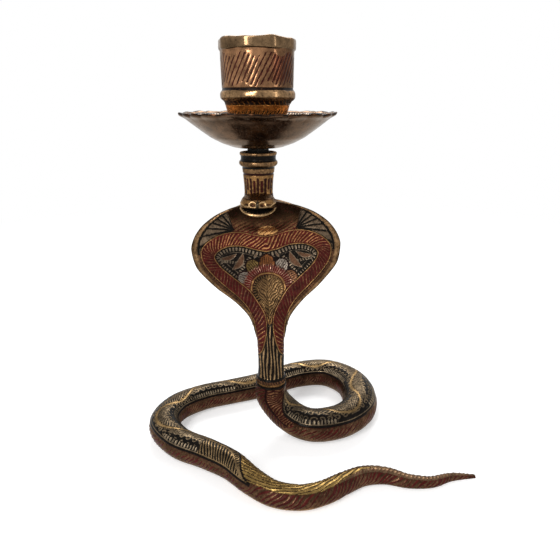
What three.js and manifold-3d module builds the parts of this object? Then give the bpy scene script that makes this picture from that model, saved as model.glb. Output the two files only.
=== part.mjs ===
// Cobra candle holder in cast and engraved brass, in millimetres, +Z up, the cobra facing -Y.
// A coiled tail carries an upright hood and head, and a candle cup with its drip pan screws into
// the stem on top of the head. Two plain studs stand for the threads that hold it together.
import * as THREE from "three";
import { mergeVertices } from "three/addons/utils/BufferGeometryUtils.js";
import Module from "manifold-3d";

const wasm = await Module();
wasm.setup();

// Clearances
const GAP = 0.3; // between neighbouring castings, and between a thread and its hole

// Tail casting
const BODY_RADIUS = 7.0; // the snake at its thickest, at the front of the loop
const REST_FLAT = 0.3; // how much is ground off the underside so that it stands still
const NECK_X = 4.5;
const NECK_Y = -5.0;
const NECK_JOINT_Z = 25.0;
const NECK_END_RADIUS = 6.3;
const BODY_SIDES = 20;
const BODY_STEPS = 84;

// Neck stud, M6
const NECK_STUD_RADIUS = 3.0;
const NECK_STUD_ENGAGED = 7.5;
const NECK_STUD_SOCKET = 8.0;

// Hood casting
const HOOD_HALF_WIDTH = 30.3;
const HOOD_HEIGHT = 78.0; // from the neck joint to the shoulder under the stem
const HOOD_TILT = 0.045; // how far the +X shoulder stands above the other, for each mm across
const HOOD_SIDES = 36;
const HOOD_STEPS = 38;
const SPINE_RELIEF = 2.6; // the backbone that stands out behind the hood
const SPINE_HALF_WIDTH = 5.0;

// Head
const HEAD_HALF_WIDTH = 6.9;
const HEAD_HALF_LENGTH = 9.0;
const HEAD_HALF_HEIGHT = 4.7;
const HEAD_FORWARD = 5.2;
const HEAD_BELOW_SHOULDER = 1.4;
const MOUTH_HEIGHT = 1.3;
const MOUTH_HALF_WIDTH = 5.3;
const MOUTH_DEPTH = 4.0;

// Stem on top of the head
const STEM_RADIUS = 5.5;
const STEM_HEIGHT = 18.3; // from the shoulder to the rim of its mouth
const STEM_MOUTH_WALL = 1.3;
const STEM_MOUTH_DEPTH = 3.9;
const STEM_LIP_RADIUS = 7.2;

// Tapped bush in the stem, and the M5 stud and lock nut above it
const CUP_STUD_RADIUS = 2.5;
const CUP_STUD_ENGAGED = 6.0;
const CUP_STUD_IN_CUP = 7.5;
const BUSH_WALL = 1.0;
const BUSH_HEIGHT = 7.7;
const NUT_ACROSS_FLATS = 8.0;
const NUT_HEIGHT = 4.2;

// Drip pan
const PAN_RADIUS = 29.6;
const PAN_WALL = 1.2;
const PAN_DEPTH = 12.3;
const SCALLOPS = 24;
const SCALLOP_DEPTH = 0.9;
const PAN_SEGMENTS = 96;

// Candle cup
const CUP_BORE_RADIUS = 11.25; // takes a 22 mm dinner candle
const CUP_WALL = 2.2; // at the mouth
const CUP_BAND = 0.55; // how far the mouth band stands out
const CUP_BAND_HEIGHT = 3.8;
const CUP_BORE_DEPTH = 22.0;
const CUP_FOOT_HEIGHT = 14.5; // underside to the floor of the bore
const CUP_FOOT_RADIUS = 7.0;
const CUP_RING = 0.75; // how far the lower ring stands out
const CUP_SEGMENTS = 48;

// A solid whose faces point out, from any closed geometry.
function solidOf(geometry) {
  const bare = geometry.clone();
  bare.deleteAttribute("normal");
  bare.deleteAttribute("uv");
  const merged = mergeVertices(bare, 1e-3);
  const corners = new Uint32Array(merged.index.array);
  const points = merged.attributes.position.array;
  const make = () => {
    const mesh = new wasm.Mesh({ numProp: 3, vertProperties: points, triVerts: corners });
    return new wasm.Manifold(mesh);
  };
  const first = make();
  if (first.volume() > 0) return first;
  for (let i = 0; i < corners.length; i += 3) {
    [corners[i + 1], corners[i + 2]] = [corners[i + 2], corners[i + 1]];
  }
  return make();
}

function geometryOf(solid) {
  const mesh = solid.getMesh();
  const geometry = new THREE.BufferGeometry();
  geometry.setAttribute("position", new THREE.BufferAttribute(new Float32Array(mesh.vertProperties), 3));
  geometry.setIndex(new THREE.BufferAttribute(new Uint32Array(mesh.triVerts), 1));
  geometry.computeVertexNormals();
  return geometry;
}

// A solid of revolution about +Z. The profile holds [radius, height] pairs.
function revolve(profile, segments = CUP_SEGMENTS) {
  const points = profile.map(([radius, height]) => new THREE.Vector2(radius, height));
  return solidOf(new THREE.LatheGeometry(points, segments).rotateX(Math.PI / 2));
}

function rod(radius, low, high, sides = 24) {
  const geometry = new THREE.CylinderGeometry(radius, radius, high - low, sides);
  return solidOf(geometry.rotateX(Math.PI / 2).translate(0, 0, (low + high) / 2));
}

// A closed skin over rings of points, each ring as long as the next.
function skin(rings) {
  const sides = rings[0].length;
  const middle = (ring) => ring.reduce((sum, p) => sum.add(p), new THREE.Vector3()).divideScalar(sides);
  const points = [...rings.flat(), middle(rings[0]), middle(rings.at(-1))];
  const faces = [];
  const lastRing = (rings.length - 1) * sides;
  for (let side = 0; side < sides; side++) {
    const next = (side + 1) % sides;
    for (let at = 0; at < lastRing; at += sides) {
      faces.push(at + side, at + next, at + sides + next);
      faces.push(at + side, at + sides + next, at + sides + side);
    }
    faces.push(points.length - 2, next, side);
    faces.push(points.length - 1, lastRing + side, lastRing + next);
  }
  const geometry = new THREE.BufferGeometry().setFromPoints(points);
  geometry.setIndex(faces);
  return solidOf(geometry);
}

// Reads a column of a table of stations by a smooth curve through it.
function smoothColumn(rows, column) {
  const points = rows.map((row) => new THREE.Vector3(row[column], 0, 0));
  const curve = new THREE.CatmullRomCurve3(points, false, "catmullrom", 0.4);
  return (share) => curve.getPoint(share).x;
}

// Tail casting. Each station is [x, y, thickness as a share of BODY_RADIUS], from under the neck,
// round the loop, across behind the neck, round the left bend and out to the tip of the tail.
const TAIL_STATIONS = [
  [23.4, -10.2, 1.0],
  [35.4, -7.0, 1.02],
  [43.8, 2.0, 1.07],
  [45.4, 14.0, 1.11],
  [41.6, 27.6, 1.03],
  [31.2, 37.0, 0.94],
  [16.7, 35.4, 0.9],
  [0.0, 25.8, 0.86],
  [-15.5, 19.6, 0.83],
  [-28.4, 14.2, 0.84],
  [-39.2, 4.2, 0.88],
  [-41.8, -9.2, 0.93],
  [-33.6, -21.2, 0.88],
  [-20.8, -28.4, 0.84],
  [-10.6, -35.0, 0.79],
  [-2.4, -43.3, 0.72],
  [6.0, -49.6, 0.66],
  [16.0, -51.3, 0.63],
  [24.5, -48.6, 0.61],
  [32.2, -43.5, 0.58],
  [40.4, -38.9, 0.53],
  [48.8, -38.1, 0.46],
  [57.0, -40.4, 0.38],
  [65.8, -40.4, 0.3],
  [75.0, -36.8, 0.22],
  [84.4, -35.4, 0.1],
];
const NECK_BEND = [
  [NECK_X, NECK_Y, NECK_JOINT_Z],
  [NECK_X, NECK_Y, NECK_JOINT_Z - 6.0],
  [NECK_X + 5.1, NECK_Y - 1.53, NECK_JOINT_Z - 13.0],
  [NECK_X + 12.0, NECK_Y - 3.6, NECK_JOINT_Z - 17.4],
];

function tailCoil() {
  const onTable = ([x, y, share]) => new THREE.Vector3(x, y, BODY_RADIUS * share - REST_FLAT);
  const route = [...NECK_BEND.map((p) => new THREE.Vector3(...p)), ...TAIL_STATIONS.map(onTable)];
  const neckRadii = NECK_BEND.map((_, n) => NECK_END_RADIUS + 0.2 * n);
  const radii = [...neckRadii, ...TAIL_STATIONS.map((row) => BODY_RADIUS * row[2])];
  const line = new THREE.CatmullRomCurve3(route, false, "centripetal");
  const radiusAt = smoothColumn(radii.map((radius) => [radius]), 0);
  const up = new THREE.Vector3(0, 0, 1);
  const lastNeckShare = (NECK_BEND.length - 1) / (route.length - 1);
  const bendEnd = NECK_BEND.at(-1);
  const neckSide = new THREE.Vector3(bendEnd[1] - NECK_Y, NECK_X - bendEnd[0], 0);
  const rings = [];
  for (let step = 0; step <= BODY_STEPS; step++) {
    const share = step / BODY_STEPS;
    const centre = line.getPoint(share);
    const along = line.getTangent(share);
    if (step === 0) along.set(0, 0, -1);
    const flatSide = new THREE.Vector3().crossVectors(along, up);
    if (flatSide.length() < 0.3) flatSide.copy(neckSide);
    flatSide.normalize();
    const top = new THREE.Vector3().crossVectors(flatSide, along).normalize();
    const ring = [];
    for (let side = 0; side < BODY_SIDES; side++) {
      const turn = ((side + 0.5) / BODY_SIDES) * 2 * Math.PI;
      const p = centre.clone();
      p.addScaledVector(flatSide, radiusAt(share) * Math.cos(turn));
      p.addScaledVector(top, radiusAt(share) * Math.sin(turn));
      if (p.z < 0 || (share > lastNeckShare && p.z < REST_FLAT / 4)) p.z = 0;
      ring.push(p);
    }
    rings.push(ring);
  }
  const bore = rod(NECK_STUD_RADIUS + GAP, NECK_JOINT_Z - NECK_STUD_ENGAGED - GAP, NECK_JOINT_Z + 1);
  return skin(rings).subtract(bore.translate(NECK_X, NECK_Y, 0));
}

// Hood casting. Each station is [height above the neck joint, half width as a share of
// HOOD_HALF_WIDTH, half thickness, middle y, how far the edges curl forward, bluntness of the edge].
const HOOD_LOW = NECK_JOINT_Z + GAP;
const HOOD_STATIONS = [
  [0.0, 0.197, 5.9, NECK_Y, 0, 1],
  [1.2, 0.21, 6.25, NECK_Y, 0, 1],
  [2.6, 0.205, 6.1, NECK_Y, 0, 1],
  [3.6, 0.182, 5.45, NECK_Y + 0.1, 0, 1],
  [9.0, 0.18, 5.4, NECK_Y + 0.5, 0, 1],
  [16.0, 0.181, 5.3, NECK_Y + 1.3, 0, 1],
  [22.0, 0.207, 5.0, NECK_Y + 2.4, 0.3, 0.95],
  [29.0, 0.3, 4.2, NECK_Y + 4.0, 1.0, 0.85],
  [35.7, 0.485, 3.4, NECK_Y + 5.4, 2.0, 0.7],
  [42.4, 0.725, 2.8, NECK_Y + 6.8, 3.4, 0.6],
  [51.0, 0.95, 2.5, NECK_Y + 8.2, 5.0, 0.55],
  [59.4, 1.0, 2.3, NECK_Y + 8.6, 6.0, 0.55],
  [65.0, 0.935, 2.2, NECK_Y + 8.0, 6.0, 0.55],
  [69.4, 0.82, 2.1, NECK_Y + 7.0, 5.4, 0.55],
  [73.4, 0.64, 2.1, NECK_Y + 5.4, 4.2, 0.6],
  [76.0, 0.45, 2.2, NECK_Y + 4.2, 2.6, 0.7],
  [77.3, 0.3, 2.4, NECK_Y + 3.6, 1.2, 0.8],
  [HOOD_HEIGHT, 0.16, 2.0, NECK_Y + 3.4, 0.4, 1],
];
const HOOD_TOP_X = 2.2; // the hood leans from the neck at NECK_X towards the stem at 0
const SHOULDER_Z = NECK_JOINT_Z + HOOD_HEIGHT;
const STEM_TOP_Z = SHOULDER_Z + STEM_HEIGHT;

function hoodShell() {
  const column = [0, 1, 2, 3, 4, 5].map((n) => smoothColumn(HOOD_STATIONS, n));
  const rings = [];
  for (let step = 0; step <= HOOD_STEPS; step++) {
    const share = step / HOOD_STEPS;
    const [height, width, thick, middle, curl, blunt] = column.map((read) => read(share));
    const halfWidth = width * HOOD_HALF_WIDTH;
    const lean = THREE.MathUtils.smoothstep(height, 8, HOOD_HEIGHT);
    const centreX = THREE.MathUtils.lerp(NECK_X, HOOD_TOP_X, lean);
    const open = THREE.MathUtils.smoothstep(height, 18, 45);
    const tilt = HOOD_TILT * open;
    const ring = [];
    for (let side = 0; side < HOOD_SIDES; side++) {
      const turn = (side / HOOD_SIDES) * 2 * Math.PI;
      const across = Math.cos(turn);
      const depth = Math.sign(Math.sin(turn)) * Math.abs(Math.sin(turn)) ** blunt;
      const x = halfWidth * across;
      const spine = depth > 0 ? open * depth * SPINE_RELIEF * Math.exp(-((x / SPINE_HALF_WIDTH) ** 2)) : 0;
      const y = middle - curl * across ** 2 + thick * depth + spine;
      const z = HOOD_LOW + height - (height / HOOD_HEIGHT) * GAP + tilt * x;
      ring.push(new THREE.Vector3(centreX + x, y, z));
    }
    rings.push(ring);
  }
  return skin(rings);
}

function head() {
  const z = SHOULDER_Z - HEAD_BELOW_SHOULDER;
  const skull = new THREE.SphereGeometry(1, 28, 18).rotateX(Math.PI / 2);
  skull.scale(HEAD_HALF_WIDTH, HEAD_HALF_LENGTH, HEAD_HALF_HEIGHT).translate(0, -HEAD_FORWARD, z);
  const snout = -HEAD_FORWARD - HEAD_HALF_LENGTH;
  const slit = new THREE.BoxGeometry(2 * MOUTH_HALF_WIDTH, 2 * MOUTH_DEPTH, MOUTH_HEIGHT);
  slit.translate(0, snout, z - HEAD_HALF_HEIGHT * 0.25);
  return solidOf(skull).subtract(solidOf(slit));
}

function stem() {
  const top = STEM_TOP_Z;
  return revolve([
    [0, SHOULDER_Z - 5],
    [STEM_RADIUS + 1.2, SHOULDER_Z - 5],
    [STEM_RADIUS + 0.5, SHOULDER_Z - 1],
    [STEM_RADIUS, SHOULDER_Z + 3],
    [STEM_RADIUS + 0.1, SHOULDER_Z + 6],
    [STEM_RADIUS + 0.45, top - 8.6],
    [STEM_RADIUS + 0.8, top - 5.6],
    [STEM_LIP_RADIUS + 0.2, top - 4.7],
    [STEM_LIP_RADIUS + 0.2, top - 3.7],
    [STEM_LIP_RADIUS - 0.4, top - 2.7],
    [STEM_LIP_RADIUS - 0.3, top - 1.5],
    [STEM_LIP_RADIUS, top - 0.5],
    [STEM_LIP_RADIUS - 0.2, top],
    [0, top],
  ], 36);
}

const MOUTH_FLOOR_Z = STEM_TOP_Z - STEM_MOUTH_DEPTH;
const BUSH_RADIUS = CUP_STUD_RADIUS + GAP + BUSH_WALL;
const BUSH_TOP_Z = MOUTH_FLOOR_Z + GAP;

function cobraHood() {
  const mouth = rod(STEM_LIP_RADIUS - STEM_MOUTH_WALL, MOUTH_FLOOR_Z, STEM_TOP_Z + 1, 36);
  const bushSeat = rod(BUSH_RADIUS + GAP, BUSH_TOP_Z - BUSH_HEIGHT - GAP, STEM_TOP_Z);
  const studSocket = rod(NECK_STUD_RADIUS + GAP, HOOD_LOW - 1, HOOD_LOW + NECK_STUD_SOCKET + GAP);
  const body = hoodShell().add(stem()).add(head());
  return body.subtract(mouth).subtract(bushSeat).subtract(studSocket.translate(NECK_X, NECK_Y, 0));
}

function stemBush() {
  const outside = rod(BUSH_RADIUS, BUSH_TOP_Z - BUSH_HEIGHT, BUSH_TOP_Z);
  return outside.subtract(rod(CUP_STUD_RADIUS + GAP, MOUTH_FLOOR_Z - 2 * BUSH_HEIGHT, STEM_TOP_Z));
}

// The nut stands on the bush, the pan on the nut and the cup's foot in the pan.
const NUT_LOW_Z = BUSH_TOP_Z + GAP;
const PAN_LOW_Z = NUT_LOW_Z + NUT_HEIGHT + GAP;
const CUP_LOW_Z = PAN_LOW_Z + PAN_WALL + GAP;

function lockNut() {
  const outer = NUT_ACROSS_FLATS / Math.sqrt(3);
  const bore = rod(CUP_STUD_RADIUS + GAP, MOUTH_FLOOR_Z, CUP_LOW_Z);
  return rod(outer, NUT_LOW_Z, NUT_LOW_Z + NUT_HEIGHT, 6).subtract(bore);
}

function cupStud() {
  return rod(CUP_STUD_RADIUS, BUSH_TOP_Z - CUP_STUD_ENGAGED, CUP_LOW_Z + CUP_STUD_IN_CUP);
}

function neckStud() {
  const stud = rod(NECK_STUD_RADIUS, NECK_JOINT_Z - NECK_STUD_ENGAGED, HOOD_LOW + NECK_STUD_SOCKET);
  return stud.translate(NECK_X, NECK_Y, 0);
}

// The pan's underside as [radius as a share of PAN_RADIUS, height as a share of PAN_DEPTH].
const PAN_CURVE = [
  [0.15, 0],
  [0.31, 0.04],
  [0.46, 0.165],
  [0.6, 0.335],
  [0.74, 0.575],
  [0.84, 0.755],
  [0.915, 0.89],
  [1, 0.985],
];
const SCALLOPS_START = 0.85; // share of PAN_RADIUS where the rim begins to wave

function dripPan() {
  const hole = CUP_STUD_RADIUS + GAP;
  const outside = PAN_CURVE.map(([radius, height]) => [radius * PAN_RADIUS, height * PAN_DEPTH]);
  const inside = outside.map(([radius, height]) => [radius, height + PAN_WALL]).reverse();
  const profile = [[hole, 0], ...outside, ...inside, [hole, PAN_WALL], [hole, 0]];
  const points = profile.map(([radius, height]) => new THREE.Vector2(radius, height));
  const dish = new THREE.LatheGeometry(points, PAN_SEGMENTS).rotateX(Math.PI / 2);
  const place = dish.attributes.position;
  for (let n = 0; n < place.count; n++) {
    const [x, y] = [place.getX(n), place.getY(n)];
    const radius = Math.hypot(x, y);
    const lobe = Math.abs(Math.cos((Math.atan2(y, x) * SCALLOPS) / 2));
    const wave = THREE.MathUtils.smoothstep(radius, PAN_RADIUS * SCALLOPS_START, PAN_RADIUS);
    const share = 1 - (SCALLOP_DEPTH / PAN_RADIUS) * (1 - lobe) * wave;
    place.setXY(n, x * share, y * share);
  }
  return solidOf(dish.translate(0, 0, PAN_LOW_Z));
}

function candleCup() {
  const floor = CUP_FOOT_HEIGHT;
  const top = floor + CUP_BORE_DEPTH;
  const wall = CUP_BORE_RADIUS + CUP_WALL;
  const lowWall = wall - 0.4;
  const hole = CUP_STUD_RADIUS + GAP;
  const profile = [
    [0, CUP_STUD_IN_CUP + GAP],
    [hole, CUP_STUD_IN_CUP + GAP],
    [hole, 0],
    [CUP_FOOT_RADIUS, 0],
    [CUP_FOOT_RADIUS + 1.4, 3.0],
    [CUP_FOOT_RADIUS + 2.8, 7.0],
    [lowWall - 2.4, floor - 4.5],
    [lowWall - 1.1, floor - 0.4],
    [lowWall - 0.5, floor + 0.9],
    [lowWall + CUP_RING, floor + 1.9],
    [lowWall + CUP_RING, floor + 3.9],
    [lowWall, floor + 4.8],
    [wall, top - CUP_BAND_HEIGHT],
    [wall + CUP_BAND, top - CUP_BAND_HEIGHT],
    [wall + CUP_BAND, top - 0.4],
    [wall + CUP_BAND - 0.4, top],
    [CUP_BORE_RADIUS, top],
    [CUP_BORE_RADIUS, floor],
    [0, floor],
  ];
  return revolve(profile.map(([radius, height]) => [radius, height + CUP_LOW_Z]));
}

// Finishes: aged brass on the castings and turned parts, dark steel on the studs and the nut.
const agedBrass = { color: 0x8a6a3c, roughness: 0.38, metalness: 1.0 };
const redBrass = { color: 0x6b3426, roughness: 0.45, metalness: 0.8 };
const darkSteel = { color: 0x2c2a28, roughness: 0.55, metalness: 1.0 };

function piece(name, solid, finish) {
  const mesh = new THREE.Mesh(geometryOf(solid), new THREE.MeshStandardMaterial(finish));
  mesh.name = name;
  return mesh;
}

const candleHolder = new THREE.Group();
candleHolder.add(
  piece("tail_coil", tailCoil(), redBrass),
  piece("neck_stud", neckStud(), darkSteel),
  piece("cobra_hood", cobraHood(), redBrass),
  piece("stem_bush", stemBush(), agedBrass),
  piece("cup_stud", cupStud(), darkSteel),
  piece("lock_nut", lockNut(), darkSteel),
  piece("drip_pan", dripPan(), agedBrass),
  piece("candle_cup", candleCup(), agedBrass),
);

// The origin is the middle of the whole object's footprint, on the surface that it stands on.
const extent = new THREE.Box3().setFromObject(candleHolder);
candleHolder.position.set(-(extent.min.x + extent.max.x) / 2, -(extent.min.y + extent.max.y) / 2, -extent.min.z);

export default candleHolder;
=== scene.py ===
# Cobra candle holder in cast brass, engraved and filled with red and black lac. Sizes are written in
# millimetres, in each piece's own section, and become metres where its mesh is made.
import math

import bpy
import numpy as np
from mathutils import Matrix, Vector


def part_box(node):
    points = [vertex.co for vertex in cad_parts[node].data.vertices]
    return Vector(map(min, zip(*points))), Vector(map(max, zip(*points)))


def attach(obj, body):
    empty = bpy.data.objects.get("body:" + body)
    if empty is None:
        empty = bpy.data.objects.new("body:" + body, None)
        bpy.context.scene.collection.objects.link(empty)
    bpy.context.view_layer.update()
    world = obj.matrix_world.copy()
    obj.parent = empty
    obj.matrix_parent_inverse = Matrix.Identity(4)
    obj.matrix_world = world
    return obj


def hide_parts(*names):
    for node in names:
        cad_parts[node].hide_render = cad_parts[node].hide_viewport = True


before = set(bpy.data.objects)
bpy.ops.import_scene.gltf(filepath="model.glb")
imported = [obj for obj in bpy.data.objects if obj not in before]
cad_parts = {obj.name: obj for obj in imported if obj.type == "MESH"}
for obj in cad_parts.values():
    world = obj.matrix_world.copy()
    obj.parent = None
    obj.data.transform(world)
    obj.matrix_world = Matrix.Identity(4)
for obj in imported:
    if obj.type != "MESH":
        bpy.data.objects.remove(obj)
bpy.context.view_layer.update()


# Camera. The holder was photographed from a little above the hood, nearly square on to the cup.
# The candle cup's axis is the place that the camera is measured from.
def placed(name, data, place=(0, 0, 0)):
    """A new object in the scene, at that place."""
    made = bpy.data.objects.new(name, data)
    made.location = place
    bpy.context.scene.collection.objects.link(made)
    return made


MM = 0.001
PHOTO_PIXELS = 560
FOCAL_PIXELS = 530
CAMERA_FROM_STEM = Vector((8.3, -207.0, 140.0)) * MM
CAMERA_PITCH_DOWN = 18.8
cup_low, cup_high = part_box("candle_cup")
stem_axis = Vector(((cup_low.x + cup_high.x) / 2, (cup_low.y + cup_high.y) / 2, 0))

camera_data = bpy.data.cameras.new("camera")
camera_data.sensor_width = 36
camera_data.lens = FOCAL_PIXELS / PHOTO_PIXELS * camera_data.sensor_width
camera_data.clip_start = 0.01
camera = placed("camera", camera_data, stem_axis + CAMERA_FROM_STEM)
camera.rotation_euler = (math.radians(90 - CAMERA_PITCH_DOWN), 0, 0)
bpy.context.scene.camera = camera
bpy.context.scene.view_settings.view_transform = "Standard"


# Studio. A pale table and a white room, with a large soft lamp at the front left, a weaker one at
# the right and one behind. The camera, and metal that mirrors the room, see plain white.
def own_nodes(owner):
    """The emptied node tree of a new material or world."""
    owner.use_nodes = True
    owner.node_tree.nodes.clear()
    return owner.node_tree


def add(tree, kind, inputs=(), **settings):
    """A node with those settings. An input is a value, or another node's output."""
    made = tree.nodes.new(kind)
    for name, value in settings.items():
        setattr(made, name, value)
    for name, value in dict(inputs).items():
        if isinstance(value, bpy.types.NodeSocket):
            tree.links.new(value, made.inputs[name])
        else:
            made.inputs[name].default_value = value
    return made


def maths(tree, operation, *values):
    return add(tree, "ShaderNodeMath", dict(enumerate(values)), operation=operation).outputs[0]


def ramp(tree, value, low, high, to_low=0.0, to_high=1.0):
    ends = {"Value": value, "From Min": low, "From Max": high, "To Min": to_low, "To Max": to_high}
    return add(tree, "ShaderNodeMapRange", ends, interpolation_type="SMOOTHSTEP").outputs[0]


def seen_or_mirrored(tree):
    ray = add(tree, "ShaderNodeLightPath").outputs
    mirrored = maths(tree, "MAXIMUM", ray["Is Glossy Ray"], ray["Is Transmission Ray"])
    return maths(tree, "MAXIMUM", ray["Is Camera Ray"], mirrored)


WHITE = (1, 1, 1, 1)
ROOM_LIGHT = 0.32
room = bpy.data.worlds.new("white_room")
tree = own_nodes(room)
lit = add(tree, "ShaderNodeBackground", {"Color": WHITE, "Strength": ROOM_LIGHT}).outputs[0]
plain = add(tree, "ShaderNodeBackground", {"Color": WHITE, "Strength": 1.0}).outputs[0]
either = add(tree, "ShaderNodeMixShader", {0: seen_or_mirrored(tree), 1: lit, 2: plain}).outputs[0]
add(tree, "ShaderNodeOutputWorld", {"Surface": either})
bpy.context.scene.world = room

TABLE_HALF = 4.0
TABLE_COLOUR = (0.82, 0.82, 0.82, 1)
TABLE_GLOW = 0.4
SHADOW_REACH = (0.22, 0.55)
table_mesh = bpy.data.meshes.new("table")
table_corners = [(x * TABLE_HALF, y * TABLE_HALF, 0) for x, y in ((-1, -1), (1, -1), (1, 1), (-1, 1))]
table_mesh.from_pydata(table_corners, [], [(0, 1, 2, 3)])
table = placed("table", table_mesh)
table_paint = bpy.data.materials.new("table_paint")
tree = own_nodes(table_paint)
matt = add(tree, "ShaderNodeBsdfDiffuse", {"Color": TABLE_COLOUR}).outputs[0]
glow = add(tree, "ShaderNodeEmission", {"Color": WHITE, "Strength": TABLE_GLOW}).outputs[0]
near = add(tree, "ShaderNodeAddShader", {0: matt, 1: glow}).outputs[0]
far = add(tree, "ShaderNodeEmission", {"Color": WHITE, "Strength": 1.0}).outputs[0]
place = add(tree, "ShaderNodeTexCoord").outputs["Object"]
away = add(tree, "ShaderNodeVectorMath", {0: place}, operation="LENGTH").outputs["Value"]
beyond = ramp(tree, away, *SHADOW_REACH)
white = add(tree, "ShaderNodeMixShader", {0: beyond, 1: near, 2: far}).outputs[0]
either = add(tree, "ShaderNodeMixShader", {0: seen_or_mirrored(tree), 1: matt, 2: white}).outputs[0]
add(tree, "ShaderNodeOutputMaterial", {"Surface": either})
table_mesh.materials.append(table_paint)

# Each lamp is its place, its width and height, and its watts.
LAMP_AIM = Vector((0, 0, 0.07))
LAMPS = {
    "front_left": ((-0.30, -0.62, 0.50), (0.20, 0.85), 6.2),
    "right": ((0.62, -0.34, 0.30), (0.14, 0.60), 0.9),
    "behind": ((0.05, 0.60, 0.70), (0.70, 0.30), 4.8),
}
for name, (place, size, watts) in LAMPS.items():
    light = bpy.data.lights.new(name, "AREA")
    light.shape = "RECTANGLE"
    light.size, light.size_y = size
    light.energy = watts
    lamp = placed(name, light, place)
    lamp.rotation_euler = (LAMP_AIM - Vector(place)).to_track_quat("-Z", "Y").to_euler()


# Tail casting. The snake's body lies coiled on the table, cast solid in brass and engraved: a band
# of scrolls on black along its back, and red lac with slanted strokes on its sides. It is ground
# flat underneath, and the neck stands up at one end to take the hood.
BODY_RADIUS = 7.0
REST_FLAT = 0.3
NECK_X, NECK_Y = 4.5, -5.0
NECK_JOINT = 25.0
NECK_END_RADIUS = 6.3
NECK_SWELL = 0.2
NECK_BEND = [(0, 0, 0), (0, 0, -6.0), (5.1, -1.53, -13.0), (12.0, -3.6, -17.4)]
# Each station of the tail is its place on the table, and its thickness as a share of the body's.
TAIL_STATIONS = [
    (23.4, -10.2, 1.0), (35.4, -7.0, 1.02), (43.8, 2.0, 1.07), (45.4, 14.0, 1.11),
    (41.6, 27.6, 1.03), (31.2, 37.0, 0.94), (16.7, 35.4, 0.9), (0.0, 25.8, 0.86),
    (-15.5, 19.6, 0.83), (-28.4, 14.2, 0.84), (-39.2, 4.2, 0.88), (-41.8, -9.2, 0.93),
    (-33.6, -21.2, 0.88), (-20.8, -28.4, 0.84), (-10.6, -35.0, 0.79), (-2.4, -43.3, 0.72),
    (6.0, -49.6, 0.66), (16.0, -51.3, 0.63), (24.5, -48.6, 0.61), (32.2, -43.5, 0.58),
    (40.4, -38.9, 0.53), (48.8, -38.1, 0.46), (57.0, -40.4, 0.38), (65.8, -40.4, 0.3),
    (75.0, -36.8, 0.22), (84.4, -35.4, 0.1),
]
STATION_TENSION = 0.4
BODY_PROBES = 4000
BODY_STEPS = 1100
BODY_SIDES = 88


def smooth(value, low, high):
    share = np.clip((value - low) / (high - low), 0, 1)
    return share * share * (3 - 2 * share)


def running_total(lengths):
    return np.concatenate([[0], np.cumsum(lengths)])


def spline(points, shares, tension=None):
    """Places along a curve through the points, and its directions. It runs evenly from point to
    point, as a centripetal curve, or with a tension where one is given."""
    points = np.asarray(points, float)
    padded = np.concatenate([[2 * points[0] - points[1]], points, [2 * points[-1] - points[-2]]])
    spans = len(points) - 1
    at = np.minimum((shares * spans).astype(int), spans - 1)
    t = (shares * spans - at)[:, None]
    a, b, c, d = (padded[at + n] for n in range(4))
    if tension is None:
        gap = [np.sqrt(np.linalg.norm(q - p, axis=1))[:, None] for p, q in ((a, b), (b, c), (c, d))]
        leave = ((b - a) / gap[0] - (c - a) / (gap[0] + gap[1]) + (c - b) / gap[1]) * gap[1]
        arrive = ((c - b) / gap[1] - (d - b) / (gap[1] + gap[2]) + (d - c) / gap[2]) * gap[1]
    else:
        leave, arrive = tension * (c - a), tension * (d - b)
    square, cube = -3 * b + 3 * c - 2 * leave - arrive, 2 * b - 2 * c + leave + arrive
    place = b + leave * t + square * t**2 + cube * t**3
    return place, leave + 2 * square * t + 3 * cube * t**2


# Colours of the bare metal, the lac and old grime.
GOLD = np.array((0.35, 0.185, 0.068))
BROWN = np.array((0.10, 0.046, 0.023))
RED_LAC = (0.066, 0.0085, 0.0072, 1)
BLACK_LAC = (0.004, 0.0032, 0.0028, 1)
STAIN = (0.018, 0.010, 0.006, 1)

# Engraving is drawn by numbers at each point of a mesh. Metal is bare where the line is above nought,
# and over a share of each stroke's width. Lac fills the rest, from black at nought to red at one.
NO_LINE = -1.0
ALL_BARE, ALL_LAC = 1.4, -0.4
BLACK = {"line": NO_LINE, "share": ALL_LAC, "lac": 0.0}
DRAWING = ("line", "stroke", "share", "lac")


def plain_brass(shape, **everywhere):
    """The finish of a mesh of that shape, bare or the same all over, and the tool that engraves it."""
    finish = {
        "line": np.full(shape, NO_LINE),
        "stroke": np.zeros(shape),
        "share": np.full(shape, ALL_BARE),
        "lac": np.zeros(shape),
        "grime": np.full(shape, 0.4),
        "lift": np.zeros(shape),
        "tint": np.tile(GOLD, shape + (1,)),
    }

    def engrave(where, **values):
        for name, value in values.items():
            target = finish[name]
            target[where] = value[where] if np.shape(value) == target.shape else value

    engrave(np.ones(shape, bool), **everywhere)
    return finish, engrave


def stroke_wave(phase):
    return 1 - np.abs(2 * (phase % 1) - 1)


def unsteady(run, over):
    """A slow wander, of about a fifth of a stroke, as a hand-held graver makes."""
    return 0.11 * np.sin(run * 0.83 + over * 0.4) + 0.09 * np.sin(run * 0.37 - over * 0.9 + 1.3)


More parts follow.
